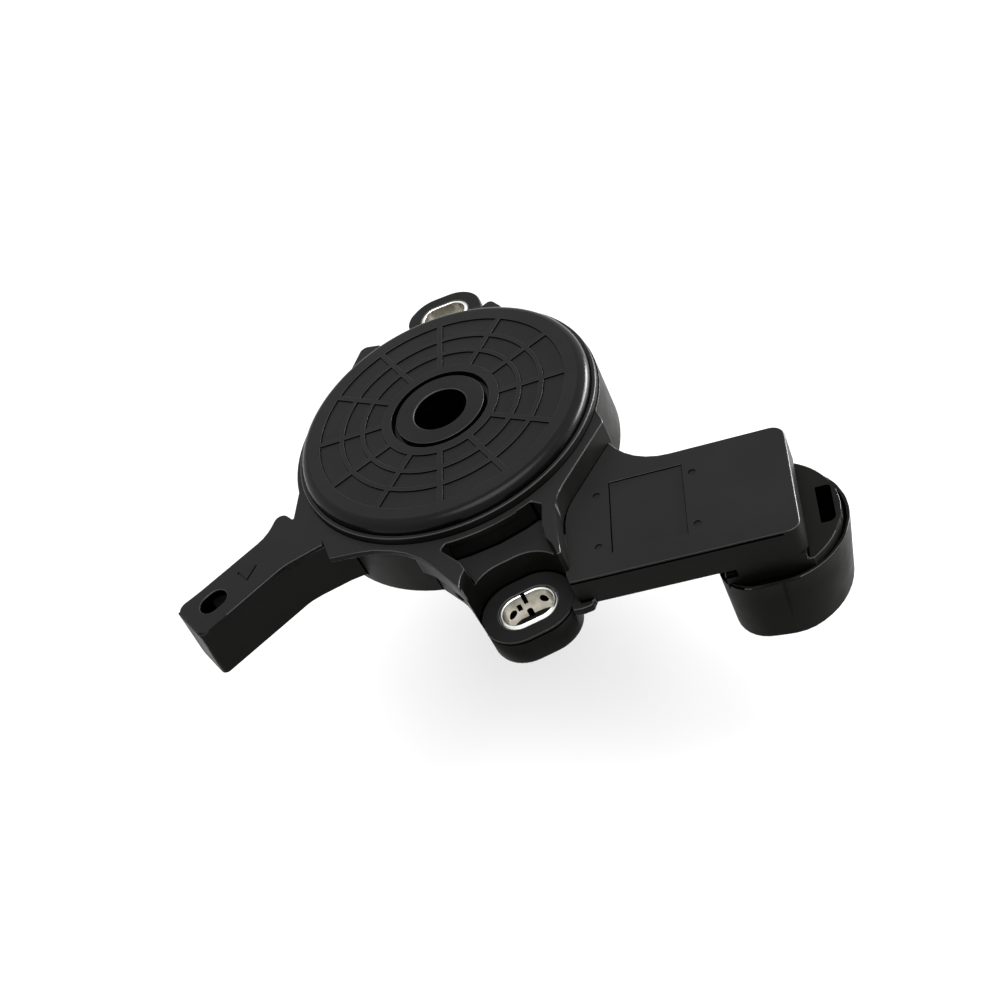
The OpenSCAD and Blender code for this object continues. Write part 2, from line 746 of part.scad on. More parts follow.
// Sheet ring with three waves
module wave_washer() color([0.7, 0.7, 0.7]) {
    n = 72;
    r_in = neck_r + 0.3;
    r_out = neck_r + 3.0;
    swing = (wave_h - wave_t) / 2 - 0.04;
    base = shoulder_z + 0.06;
    levels = [for (i = [0:n - 1]) base + swing * (1 - cos(3 * 360 * i / n))];
    points = [for (i = [0:n - 1]) let (a = 360 * i / n, z = levels[i]) each [
        [r_in * cos(a), r_in * sin(a), z], [r_out * cos(a), r_out * sin(a), z],
        [r_out * cos(a), r_out * sin(a), z + wave_t], [r_in * cos(a), r_in * sin(a), z + wave_t]]];
    faces = [for (i = [0:n - 1], k = [0:3]) let (j = (i + 1) % n)
        [4 * i + k, 4 * j + k, 4 * j + (k + 1) % 4, 4 * i + (k + 1) % 4]];
    polyhedron(points, faces, convexity = 4);
}

// Oblong bushing rolled from sheet, with its seam, two holes and a slot in the wall nearer the drum
module bushing(face) color([0.75, 0.73, 0.68]) difference() {
    slab(0, face + bush_proud) obround(bush_l - 0.04, bush_w - 0.04);
    slab(-over, face + over) obround(bush_l - 2 * bush_t, bush_w - 2 * bush_t);
    side = bush_w / 2;
    translate([-seam_w / 2, side - 2 * bush_t, face * 0.68]) cube([seam_w, 3 * bush_t, face]);
    translate([-seam_w / 2, side - 2 * bush_t, -over]) cube([seam_w, 3 * bush_t, over + face * 0.4]);
    translate([-2.3, side - 2 * bush_t, face * 0.46]) cube([0.7, 3 * bush_t, face * 0.26]);
    for (x = [-3.5, 3.5]) translate([x, side + bush_t, face * 0.58]) rotate([90, 0, 0])
        cylinder(d = 1.3, h = 3 * bush_t);
}

module front_bushing() at_front_ear() bushing(ear_z);
module rear_bushing() at_rear_ear() bushing(ear_z);

module board_outline() {
    rows = [
        row(along_box(31, box_off - 8), 1),
        row(along_box(box_end - box_wall - board_gap, box_off - box_w / 2 + box_wall + board_gap), 1.5),
        row(along_box(box_end - box_wall - board_gap, box_off + box_w / 2 - box_wall - board_gap), 1.5),
        row(along_box(42, box_off + box_w / 2 - box_wall - board_gap), 8),
        row(pol(cavity_r - 1.4, -44), 0),
        row(pol(cavity_r - board_gap - 0.8, -36)),
        row(pol(cavity_r - board_gap - 0.8, -24)),
        row(pol(cavity_r - board_gap - 0.8, -12), 1),
        row(pol(neck_r + 4.2, -12), 1),
        row(pol(neck_r + 4.2, -33)),
        row(pol(neck_r + 4.2, -54)),
        row(pol(neck_r + 4.2, -75)),
        row(pol(neck_r + 4.2, -96), 1),
        row(pol(cavity_r - board_gap - 0.8, -96), 1),
        row(pol(cavity_r - board_gap - 0.8, -84)),
        row(pol(cavity_r - board_gap - 0.8, -72)),
        row(pol(cavity_r - 1.4, -65), 0),
        [15.6, -44.0, 1]
    ];
    polygon(outline(rows));
}

module circuit_board() color([0.1, 0.35, 0.2]) difference() {
    slab(board_z - board_t, board_z) board_outline();
    at_each_pin() translate([0, 0, board_z]) cube([pin_t + 0.06, pin_t + 0.06, 4], center = true);
    at_each_post() translate([0, 0, board_z - 3]) cylinder(r = post_pin_r + post_gap, h = 4);
}

module hall_sensor(k) color([0.1, 0.1, 0.1])
    rotate(front_ear_a + 36 + (k - 1.5) * 12) translate([magnet_r + magnet_w / 2, 0, board_z + 0.55])
        cube([3.0, 2.8, 1.1], center = true);

module signal_chip() color([0.1, 0.1, 0.1])
    rotate(box_a) translate([42, box_off - 3, board_z + 0.6]) cube([5, 5, 1.2], center = true);

module capacitors() color([0.6, 0.5, 0.4])
    for (i = [0:2]) rotate(box_a) translate([47.5, box_off - 3 + i * 3.2, board_z + 0.45])
        cube([2, 1.2, 0.9], center = true);

module box_lid() color([0.14, 0.14, 0.15])
    slab(box_base_z, box_base_z + lid_t) lid_shape(lid_gap);

module terminal(k) color([0.8, 0.7, 0.4])
    pin_place((k - 1) % pin_n, floor((k - 1) / pin_n)) {
        top = board_z + 1.2;
        low = hood_ceiling_z - pin_reach;
        translate([-pin_t / 2, -pin_t / 2, low + 0.8]) cube([pin_t, pin_t, top - low - 0.8]);
        translate([0, 0, low]) rotate(45) cylinder(r1 = pin_t * 0.35, r2 = pin_t * 0.7071, h = 0.8, $fn = 4);
    }

housing();
top_cover();
rotor();
magnet(0);  // magnet_1
magnet(1);  // magnet_2
magnet(2);  // magnet_3
upper_seal();
lower_seal();
thrust_washer();
wave_washer();
front_bushing();
rear_bushing();
circuit_board();
hall_sensor(0);  // hall_sensor_1
hall_sensor(1);  // hall_sensor_2
hall_sensor(2);  // hall_sensor_3
hall_sensor(3);  // hall_sensor_4
signal_chip();
capacitors();
box_lid();
terminal(1);  // terminal_1
terminal(2);  // terminal_2
terminal(3);  // terminal_3
terminal(4);  // terminal_4
terminal(5);  // terminal_5
terminal(6);  // terminal_6
terminal(7);  // terminal_7
terminal(8);  // terminal_8
terminal(9);  // terminal_9
terminal(10);  // terminal_10
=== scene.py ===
import bpy
import bmesh
import json
import math
import numpy as np
from mathutils import Matrix, Vector


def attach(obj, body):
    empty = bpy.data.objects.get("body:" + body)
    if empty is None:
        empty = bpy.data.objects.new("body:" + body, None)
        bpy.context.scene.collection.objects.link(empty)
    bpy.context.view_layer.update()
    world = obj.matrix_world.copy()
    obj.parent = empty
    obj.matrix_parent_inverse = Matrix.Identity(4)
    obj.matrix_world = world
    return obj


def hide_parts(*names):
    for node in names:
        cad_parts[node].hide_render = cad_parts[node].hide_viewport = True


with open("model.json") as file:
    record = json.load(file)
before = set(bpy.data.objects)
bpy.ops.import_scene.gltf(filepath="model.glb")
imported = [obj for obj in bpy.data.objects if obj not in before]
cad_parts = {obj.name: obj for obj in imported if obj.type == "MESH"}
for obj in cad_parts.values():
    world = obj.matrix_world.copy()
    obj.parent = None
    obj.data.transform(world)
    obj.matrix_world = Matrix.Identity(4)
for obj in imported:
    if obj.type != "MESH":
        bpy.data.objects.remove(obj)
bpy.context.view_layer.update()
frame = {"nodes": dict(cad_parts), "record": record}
nodes = frame["nodes"]

MM = 0.001


# Materials

def new_material(name):
    """A node material with its tree and its Principled shader."""
    material = bpy.data.materials.new(name)
    material.use_nodes = True
    tree = material.node_tree
    return material, tree, tree.nodes["Principled BSDF"]


def place_of(tree, output="Object"):
    """A place or direction in the part's own axes, which move with the piece."""
    place = tree.nodes.get("place") or tree.nodes.new("ShaderNodeTexCoord")
    place.name = "place"
    return place.outputs[output]


def noise(tree, scale, detail=3.0, roughness=0.55):
    """Noise in the part's own metres, so its grain keeps its real size."""
    node = tree.nodes.new("ShaderNodeTexNoise")
    tree.links.new(place_of(tree), node.inputs["Vector"])
    node.inputs["Scale"].default_value = scale
    node.inputs["Detail"].default_value = detail
    node.inputs["Roughness"].default_value = roughness
    return node.outputs["Fac"]


def spread(tree, source, low, high, at=(0.3, 0.7)):
    """Turns the span at of a value into the range from low to high."""
    node = tree.nodes.new("ShaderNodeMapRange")
    node.inputs["From Min"].default_value = at[0]
    node.inputs["From Max"].default_value = at[1]
    node.inputs["To Min"].default_value = low
    node.inputs["To Max"].default_value = high
    tree.links.new(source, node.inputs["Value"])
    return node.outputs["Result"]


def math_node(tree, operation, a, b=None):
    node = tree.nodes.new("ShaderNodeMath")
    node.operation = operation
    for socket, value in zip(node.inputs, (a, b)):
        if isinstance(value, (int, float)):
            socket.default_value = value
        elif value is not None:
            tree.links.new(value, socket)
    return node.outputs[0]


def blend_colours(tree, factor, a, b):
    node = tree.nodes.new("ShaderNodeMix")
    node.data_type = "RGBA"
    for socket, value in ((6, a), (7, b)):
        if isinstance(value, tuple):
            node.inputs[socket].default_value = (*value, 1.0)
        else:
            tree.links.new(value, node.inputs[socket])
    tree.links.new(factor, node.inputs[0])
    return node.outputs[2]


def bump(tree, shader, parts):
    """Adds up bumps: each part is (height output, strength, distance in mm)."""
    last = None
    for height, strength, distance in parts:
        node = tree.nodes.new("ShaderNodeBump")
        node.inputs["Strength"].default_value = strength
        node.inputs["Distance"].default_value = distance * MM
        tree.links.new(height, node.inputs["Height"])
        if last is not None:
            tree.links.new(last, node.inputs["Normal"])
        last = node.outputs["Normal"]
    tree.links.new(last, shader.inputs["Normal"])


# Colour of the painted shade low on the housing.
LOW_SHADE_BLACK = (0.003, 0.003, 0.002)


def darker(colour, share):
    return tuple(c * share for c in colour)


def axis_part(tree, output, axis):
    split = tree.nodes.new("ShaderNodeSeparateXYZ")
    tree.links.new(place_of(tree, output), split.inputs[0])
    return split.outputs[axis]


def moulded(name, face, wall, rough, specular, grain=0.25, steep=(0.25, 0.85), shade_span=None):
    """Moulded plastic: spark-eroded faces and faint flow clouds; the steep drawn walls take the wall colour, which is
    painted shade where it is darker than the face colour.
    oily gives two heights in mm: painted shade darkens what lies below the first and fades out at the second, and the
    gloss is lower below the mounting plane."""
    material, tree, shader = new_material(name)
    clouds = spread(tree, noise(tree, 55, 4.0), 0.0, 1.0)
    fine = noise(tree, 3800, 2.0)
    speck = noise(tree, 900, 3.0)
    rub = noise(tree, 260, 5.0)
    flat = math_node(tree, "ABSOLUTE", axis_part(tree, "Normal", 2))
    flat = spread(tree, flat, 0.0, 1.0, at=steep)
    face_colour = blend_colours(tree, clouds, darker(face, 0.9), darker(face, 1.1))
    # Painted shade: the steep walls turn to the darker wall colour.
    shaded_wall_colour = blend_colours(tree, clouds, darker(wall, 0.85), darker(wall, 1.15))
    colour = blend_colours(tree, flat, shaded_wall_colour, face_colour)
    # Painted shade: darker towards the bottom of the part.
    if shade_span:
        low_shade = spread(tree, axis_part(tree, "Object", 2), 0.75, 0.0, at=(shade_span[0] * MM, shade_span[1] * MM))
        colour = blend_colours(tree, low_shade, colour, LOW_SHADE_BLACK)
        gloss_by_height = spread(tree, axis_part(tree, "Object", 2), 0.68 * specular, specular, at=(-2 * MM, 2 * MM))
        tree.links.new(gloss_by_height, shader.inputs["Specular IOR Level"])
    tree.links.new(colour, shader.inputs["Base Color"])
    tree.links.new(spread(tree, rub, rough - 0.05, rough + 0.06), shader.inputs["Roughness"])
    shader.inputs["Specular IOR Level"].default_value = specular
    bump(tree, shader, [(fine, grain, 0.03), (speck, grain * 0.5, 0.02)])
    return material


def metal(name, pale, dull, rough, scale=1500, shade_height=None, rim=None):
    """Sheet steel: rolled surface with fine mottling; stain is the height in mm below which it is painted black as
    shade, and rim is a pale colour painted as a highlight on faces that look up or down.
    """
    material, tree, shader = new_material(name)
    mottle = noise(tree, 420, 5.0)
    fine = noise(tree, scale, 3.0)
    colour = blend_colours(tree, spread(tree, mottle, 0.0, 1.0), pale, dull)
    # Painted highlight: faces that look up or down, such as the top of the rolled lip, turn to the pale rim colour.
    if rim:
        level = math_node(tree, "ABSOLUTE", axis_part(tree, "Normal", 2))
        colour = blend_colours(tree, spread(tree, level, 0.0, 1.0, at=(0.35, 0.65)), colour, rim)
    # Painted shade: the steel below the given height turns black.
    if shade_height:
        height = math_node(tree, "ADD", axis_part(tree, "Object", 2), spread(tree, mottle, -0.2 * MM, 0.2 * MM))
        bottom_shade = spread(tree, height, 1.0, 0.0, at=(shade_height * MM - 0.05 * MM, shade_height * MM + 0.15 * MM))
        colour = blend_colours(tree, bottom_shade, colour, (0.004, 0.004, 0.003))
    tree.links.new(colour, shader.inputs["Base Color"])
    shader.inputs["Metallic"].default_value = 1.0
    tree.links.new(spread(tree, mottle, rough - 0.06, rough + 0.1), shader.inputs["Roughness"])
    bump(tree, shader, [(fine, 0.25, 0.02)])
    return material


# Face and wall colours of the black plastics; the darker wall colour is painted shade.
BLACK_FACE = (0.0200, 0.0200, 0.0205)
SHADED_WALL_BLACK = (0.0062, 0.0068, 0.0057)

# Painted shade: the housing darkens from 13 mm down to 4 mm and below.
housing_black = moulded("housing_black", BLACK_FACE, SHADED_WALL_BLACK, 0.42, 0.055, shade_span=(4, 13))
# The near-black wall colours are painted shade on the steps of the cover and rotor.
cover_black = moulded("cover_black", (0.0180, 0.0180, 0.0185), (0.001, 0.001, 0.001), 0.40, 0.06)
rim_black = moulded("cover_rim_black", (0.0065, 0.0065, 0.0070), (0.002, 0.002, 0.002), 0.24, 0.11, grain=0.1)
rotor_black = moulded("rotor_black", (0.0180, 0.0180, 0.0185), (0.001, 0.001, 0.001), 0.45, 0.05)
lid_black = moulded("lid_black", BLACK_FACE, SHADED_WALL_BLACK, 0.45, 0.14)
rubber = moulded("seal_black", (0.010, 0.010, 0.010), (0.008, 0.008, 0.008), 0.6, 0.1, grain=0.4)
washer_nylon = moulded("washer_nylon", (0.66, 0.63, 0.54), (0.60, 0.57, 0.48), 0.42, 0.5, grain=0.12)
magnet_grey = moulded("magnet_grey", (0.060, 0.060, 0.063), (0.045, 0.045, 0.047), 0.5, 0.5, grain=0.3)
chip_black = moulded("chip_black", (0.018, 0.018, 0.018), (0.014, 0.014, 0.014), 0.55, 0.4)
ceramic = moulded("capacitor_tan", (0.42, 0.31, 0.20), (0.33, 0.24, 0.15), 0.4, 0.5, grain=0.1)
bushing_steel = metal("bushing_steel", (0.50, 0.47, 0.40), (0.31, 0.29, 0.23), 0.30, shade_height=1.7, rim=(0.88, 0.88, 0.85))
spring_steel = metal("spring_steel", (0.55, 0.55, 0.56), (0.42, 0.42, 0.43), 0.25)
tin = metal("tin_plate", (0.72, 0.71, 0.68), (0.60, 0.59, 0.56), 0.28)
board_green = moulded("board_green", (0.012, 0.065, 0.026), (0.10, 0.09, 0.05), 0.35, 0.5, grain=0.08)

# Painted highlight: the pale finishes of the rounded outer edges.
highlight_edge_finish = moulded("painted_highlight_edge", (0.055, 0.055, 0.055), (0.045, 0.046, 0.045), 0.35, 0.2, grain=0.1)
cover_highlight_edge = moulded("cover_highlight_edge", (0.030, 0.030, 0.031), (0.012, 0.012, 0.012), 0.40, 0.14)
# Painted shade: near-black finish for grooves, inner corners, hollows and hole edges.
shade_black_finish = moulded("painted_shade_black", (0.0008, 0.0008, 0.0008), (0.0006, 0.0006, 0.0006), 0.9, 0.0)

FINISH = {
    "housing_plastic": housing_black, "cover_plastic": cover_black, "rotor_plastic": rotor_black,
    "magnet_bonded": magnet_grey, "seal_rubber": rubber, "washer_plastic": washer_nylon,
    "spring_steel": spring_steel, "bushing_steel": bushing_steel, "board_laminate": board_green,
    "chip_plastic": chip_black, "capacitor_ceramic": ceramic, "lid_plastic": lid_black,
    "terminal_tinned": tin,
}
SLOT_OF = {row["node"]: row["material_slot"] for row in frame["record"]["subparts"]}

for name, obj in nodes.items():
    obj.data.materials.clear()
    obj.data.materials.append(FINISH[SLOT_OF[name]])


# Rounded pieces

def allowed_width(edge, width):
    """How wide an edge may be rounded: less where a short edge beside it has to give way."""
    allowed = width
    for vert in edge.verts:
        along = (edge.other_vert(vert).co - vert.co).normalized()
        for other in vert.link_edges:
            if other is edge:
                continue
            away = other.other_vert(vert).co - vert.co
            across = away.cross(along).length
            if away.length > 1e-9 and across > 0.35 * away.length:
                allowed = min(allowed, 0.45 * across)
    return allowed


def flat_points(face):
    """The corners of a face in its own plane."""
    normal = face.normal
    side = normal.orthogonal().normalized()
    other = normal.cross(side)
    start = face.verts[0].co
    return np.array([((v.co - start).dot(side), (v.co - start).dot(other)) for v in face.verts]), start, side, other


def crossings(face):
    """Places where the outline of a face crosses itself."""
    pts, start, side, other = flat_points(face)
    n = len(pts)
    if n < 4:
        return []
    p, q = pts, np.roll(pts, -1, axis=0)
    d = q - p
    i, j = np.triu_indices(n, 2)
    keep = ~((i == 0) & (j == n - 1))
    i, j = i[keep], j[keep]
    det = d[i, 0] * d[j, 1] - d[i, 1] * d[j, 0]
    w = p[j] - p[i]
    with np.errstate(divide="ignore", invalid="ignore"):
        t = (w[:, 0] * d[j, 1] - w[:, 1] * d[j, 0]) / det
        u = (w[:, 0] * d[i, 1] - w[:, 1] * d[i, 0]) / det
    hit = (np.abs(det) > 1e-14) & (t > 1e-6) & (t < 1 - 1e-6) & (u > 1e-6) & (u < 1 - 1e-6)
    spots = []
    for k in np.nonzero(hit)[0]:
        at = p[i[k]] + t[k] * d[i[k]]
        spots.append(start + side * float(at[0]) + other * float(at[1]))
    return spots


def tidy_crossings(mesh):
    """Joins the corners round each place where an outline still crosses itself."""
    work = bmesh.new()
    work.from_mesh(mesh)
    for reach in (0.1, 0.2, 0.3, 0.45):
        work.normal_update()
        spots = [p for f in work.faces if len(f.verts) > 4 for p in crossings(f)]
        print("left over", reach, len(spots))
        for spot in spots:
            near = [v for v in work.verts if v.is_valid and (v.co - spot).length < reach * MM]
            if len(near) > 1:
                bmesh.ops.pointmerge(work, verts=near, merge_co=near[0].co)
    bmesh.ops.dissolve_degenerate(work, dist=1e-6, edges=work.edges)
    work.to_mesh(mesh)
    work.free()


def new_object(name, mesh):
    obj = bpy.data.objects.new(name, mesh)
    bpy.context.scene.collection.objects.link(obj)
    return obj


def paint(mesh, rule):
    """Gives each face the finish that the rule names by number, where it names one."""
    work = bmesh.new()
    work.from_mesh(mesh)
    work.normal_update()
    for face in work.faces:
        number = rule(face)
        if number is not None:
            face.material_index = number
    work.to_mesh(mesh)
    work.free()


def sort_edges(mesh, thin):
    """Splits the rounded strips: outer edges get a painted highlight, inner corners get painted shade.
    Where thin is set, only the middle of each strip is pale."""
    work = bmesh.new()
    work.from_mesh(mesh)
    strips = [face for face in work.faces if face.material_index == 1]
    found = {}
    for face in strips:
        turn = sum(edge.calc_face_angle_signed(0.0) * edge.calc_length() for edge in face.edges)
        middle = all(other.material_index == 1 for edge in face.edges for other in edge.link_faces)
        found[face] = 2 if turn < 0 else 1 if middle or not thin else 0
    for face, index in found.items():
        face.material_index = index
    work.to_mesh(mesh)
    work.free()


def prism(outline, low, high):
    """A straight-sided cutter: an outline in mm between two heights."""
    work = bmesh.new()
    floor_loop = [work.verts.new((x * MM, y * MM, low * MM)) for x, y in outline]
    roof_loop = [work.verts.new((x * MM, y * MM, high * MM)) for x, y in outline]
    count = len(outline)
    work.faces.new(floor_loop[::-1])
    work.faces.new(roof_loop)
    for i in range(count):
        j = (i + 1) % count
        work.faces.new((floor_loop[i], floor_loop[j], roof_loop[j], roof_loop[i]))
    bmesh.ops.recalc_face_normals(work, faces=work.faces)
    return work


def cut_away(mesh, cutters):
    """Takes the cutters out of a mesh and returns what is left."""
    both = bmesh.new()
    for cutter in cutters:
        piece = bpy.data.meshes.new("cutter")
        cutter.to_mesh(piece)
        cutter.free()
        both.from_mesh(piece)
        bpy.data.meshes.remove(piece)
    cutter_mesh = bpy.data.meshes.new("cutters")
    both.to_mesh(cutter_mesh)
    both.free()
    tool = new_object("cutters", cutter_mesh)
    body = new_object("cut_body", mesh)
    modifier = body.modifiers.new("cut", "BOOLEAN")
    modifier.operation = "DIFFERENCE"
    modifier.solver = "EXACT"
    modifier.use_self = True
    modifier.object = tool
    deps = bpy.context.evaluated_depsgraph_get()
    result = bpy.data.meshes.new_from_object(body.evaluated_get(deps))
    for obj in (tool, body):
        data = obj.data
        bpy.data.objects.remove(obj)
        bpy.data.meshes.remove(data)
    return result


def disc(x, y, r, count=24):
    turns = [2 * math.pi * i / count for i in range(count)]
    return [(x + r * math.cos(a), y + r * math.sin(a)) for a in turns]


def obround(centre, length, width, degrees=0.0, count=14):
    """The outline of a slot: length and width over all, turned by degrees."""
    r = width / 2
    c, d = math.cos(math.radians(degrees)), math.sin(math.radians(degrees))
    points = []
    for side in (1, -1):
        for i in range(count + 1):
            a = math.pi * (i / count - 0.5)
            x, y = side * ((length - width) / 2 + r * math.cos(a)), side * r * math.sin(a)
            points.append((centre[0] + x * c - y * d, centre[1] + x * d + y * c))
    return points


def stroke(a, b, width):
    """The outline of a straight groove from a to b."""
    along = (Vector(b) - Vector(a)).normalized() * width / 2
    across = Vector((-along.y, along.x))
    a, b = Vector(a) - along, Vector(b) + along
    return [tuple(p) for p in (a - across, b - across, b + across, a + across)]


def rounded_copy(node, name, width_of, cuts=(), angle=28.0, segments=3, thin=False, engraved=(), rule=None,
                 finishes=None):
    """A copy of a CAD node with its flat faces joined up and its edges rounded.
    Where a rounding would run into its neighbour, it is made narrower until the faces are clean."""
    source = nodes[node].data.copy()
    if engraved:
        source = cut_away(source, [prism(*shape) for shape in engraved])
    base = bmesh.new()
    base.from_mesh(source)
    for face in base.faces:
        face.material_index = 0
    bmesh.ops.remove_doubles(base, verts=base.verts, dist=2e-6)
    bmesh.ops.dissolve_degenerate(base, dist=1e-6, edges=base.edges)
    for edge in base.edges:
        edge.seam = False
    for centre, direction, reach in cuts:
        middle, normal = Vector(centre) * MM, Vector(direction)
        near = [f for f in base.faces if min((v.co - middle).length for v in f.verts) < reach * MM]
        parts = set(near) | {e for f in near for e in f.edges} | {v for f in near for v in f.verts}
        made = bmesh.ops.bisect_plane(base, geom=list(parts), dist=1e-6, plane_co=middle, plane_no=normal)
        for piece in made["geom_cut"]:
            if isinstance(piece, bmesh.types.BMEdge):
                piece.seam = True
    bmesh.ops.dissolve_limit(base, angle_limit=math.radians(0.5), verts=base.verts, edges=base.edges,
                             use_dissolve_boundaries=False, delimit={"SEAM"})
    base.normal_update()
    base.edges.ensure_lookup_table()
    layer = base.edges.layers.float.get("bevel_weight_edge") or base.edges.layers.float.new("bevel_weight_edge")
    widths = {}
    for edge in base.edges:
        if len(edge.link_faces) != 2 or edge.calc_face_angle(0.0) < math.radians(angle):
            continue
        want = width_of(edge)
        if want > 0:
            widths[edge.index] = allowed_width(edge, want)
    # neighbours along one line keep nearly the same width, so that the rounding doesn't pulse
    for turn in range(3):
        for edge in base.edges:
            if edge.index not in widths:
                continue
            for vert in edge.verts:
                along = (edge.other_vert(vert).co - vert.co).normalized()
                for other in vert.link_edges:
                    if other is edge or other.index not in widths:
                        continue
                    if (other.other_vert(vert).co - vert.co).normalized().dot(along) < -0.85:
                        widths[edge.index] = min(widths[edge.index], 1.6 * widths[other.index])
    top = max(widths.values())
    obj = None
    for attempt in range(16):
        for edge in base.edges:
            edge[layer] = widths.get(edge.index, 0.0) / top
        mesh = bpy.data.meshes.new(name)
        base.to_mesh(mesh)
        if obj is None:
            obj = new_object(name, mesh)
        else:
            obj.data = mesh
        mesh.materials.clear()
        # Finish 1 is the painted highlight on the rounded strips, finish 2 the painted shade black.
        for finish in finishes or (FINISH[SLOT_OF[node]], highlight_edge_finish, shade_black_finish):
            mesh.materials.append(finish)
        modifier = obj.modifiers.new("round", "BEVEL")
        modifier.limit_method = "WEIGHT"
        modifier.width = top
        modifier.segments = segments
        modifier.use_clamp_overlap = False
        modifier.miter_outer = "MITER_SHARP"
        modifier.material = 1
        deps = bpy.context.evaluated_depsgraph_get()
        result = bpy.data.meshes.new_from_object(obj.evaluated_get(deps))
        obj.modifiers.clear()
        check = bmesh.new()
        check.from_mesh(result)
        check.normal_update()
        spots = []
        for face in check.faces:
            if len(face.verts) > 4:
                spots += crossings(face)
            elif face.calc_area() > 0.02e-6:
                pass
        check.free()
        if not spots or attempt == 15:
            if spots:
                tidy_crossings(result)
            obj.data = result
            print("piece", name, "faces", len(result.polygons), "rounds", attempt, "left", len(spots),
                  [tuple(round(c / MM, 1) for c in p) for p in spots[:12]])
            break
        for edge in base.edges:
            if edge.index not in widths:
                continue
            a, b = (v.co for v in edge.verts)
            for spot in spots:
                t = max(0.0, min(1.0, (spot - a).dot(b - a) / max(1e-18, (b - a).length_squared)))
                if (a.lerp(b, t) - spot).length < 1.3 * MM:
                    widths[edge.index] *= 0.6 if attempt < 3 else 0.0
                    break
    base.free()
    sort_edges(obj.data, thin)
    if rule:
        paint(obj.data, rule)
    shade(obj)
    return obj


def shade(obj, angle=48.0):
    """Smooth shading that keeps flat faces flat and real edges sharp."""
    bpy.context.view_layer.objects.active = obj
    for other in list(bpy.context.selected_objects):
        other.select_set(False)
    obj.select_set(True)
    bpy.ops.object.shade_smooth_by_angle(angle=math.radians(angle))
    weighted = obj.modifiers.new("even", "WEIGHTED_NORMAL")
    weighted.keep_sharp = True
    weighted.weight = 50
    bpy.ops.object.modifier_apply(modifier=weighted.name)


def dress(obj, node, body):
    """Puts a new piece on the body of the node that it replaces and hides that node."""
    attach(obj, body)
    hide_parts(node)


def turned(degrees):
    """The direction at that angle, and the one square to it."""
    a = math.radians(degrees)
    return (math.cos(a), math.sin(a), 0), (-math.sin(a), math.cos(a), 0)


def in_box(u, v, z=0.0):
    """A point of the arm box, whose long side points -17 degrees from +X."""
    (ux, uy, _), (vx, vy, _) = turned(-17)
    return (u * ux + v * vx, u * uy + v * vy, z)


def crossed(centre, degrees, reach):
    """Two cuts through a hole, so that the flat face round it is made of simple pieces."""
    return [(centre, direction, reach) for direction in turned(degrees)]


HOUSING_CUTS = (crossed((0, 0, 19), 0, 60) + crossed((0, -50.7, 7), 0, 10) + crossed((8.63, 55.13, 7), 81.1, 10)
                + crossed((-61.06, -19.84, 12), 202.4, 8) + crossed(in_box(42.45, -35.8, 14), -17, 18)
                + crossed(in_box(39.5, -35.8, 6), -17, 16) + crossed(in_box(64.9, -37.2, 2), -17, 20))
EAR_FRONT = (0.0, -50.7)
EAR_REAR = (8.63, 55.13)
EAR_REAR_TURN = 171.1
EAR_TOP = 7.7
DECK_TOP = 13.9
ARM_TOP = 19.4
HUB_TOP = 23.8
BORE_R = 6.2
MARK_DEPTH = 0.35
PANEL = (34.7, 50.2, -45.5, -26.1)
PANEL_Z = 13.5
BLOCK_START = 57.3
SEAM_END = 68.2
LIP_LIFT = 1.2
HOOD_AT = (64.9, -37.2)
HOOD_INSIDE = 13.9
HOOD_RIM = 15.0
EAR_HALF_L = 9.85
EAR_HALF_W = 7.90
SLOT_AT = (-61.06, -19.84)
SLOT_REACH = 5.4
BOX_U = turned(-17)[0]
WINDOW = (74.2, 78.4, -42.4, -31.6)


def engraved_marks():
    """Ejector marks round the panel and the setting mark on the slotted arm."""
    shapes = []
    for u in (32.0, 52.2):
        for v in (-28.6, -42.8):
            x, y, _ = in_box(u, v)
            shapes.append((disc(x, y, 0.8), DECK_TOP - MARK_DEPTH, DECK_TOP + 1))
    tick = [(-54.3, -15.2), (-52.8, -18.6), (-50.1, -15.6)]
    for a, b in zip(tick, tick[1:]):
        shapes.append((stroke(a, b, 0.45), ARM_TOP - MARK_DEPTH, ARM_TOP + 1))
    return shapes


def seam_grooves():
    """The fine groove under the top edge of the front ear and of the arm box."""
    ear = obround(EAR_FRONT, 2 * EAR_HALF_L + 1, 2 * EAR_HALF_W + 1)
    inner = obround(EAR_FRONT, 2 * EAR_HALF_L - 0.6, 2 * EAR_HALF_W - 0.6)
    front = [p for p in ear if p[1] < EAR_FRONT[1]]
    front_in = [p for p in inner if p[1] < EAR_FRONT[1]]
    front.sort()
    front_in.sort(reverse=True)
    box = [in_box(u, v)[:2] for u, v in ((24, -50.8), (SEAM_END, -50.8), (SEAM_END, -49.9), (24, -49.9))]
    return [(front + front_in, EAR_TOP - 0.95, EAR_TOP - 0.43),
            (box, DECK_TOP - 0.95, DECK_TOP - 0.43)]


MARKS = engraved_marks()
SEAMS = seam_grooves()


def within(point, shapes, near=0.03):
    """True where a point lies in the block round one of the cutters."""
    x, y, z = (c / MM for c in point)
    for outline, low, high in shapes:
        xs, ys = [p[0] for p in outline], [p[1] for p in outline]
        if (min(xs) - near < x < max(xs) + near and min(ys) - near < y < max(ys) + near
                and low - near < z < high + near):
            return True
    return False


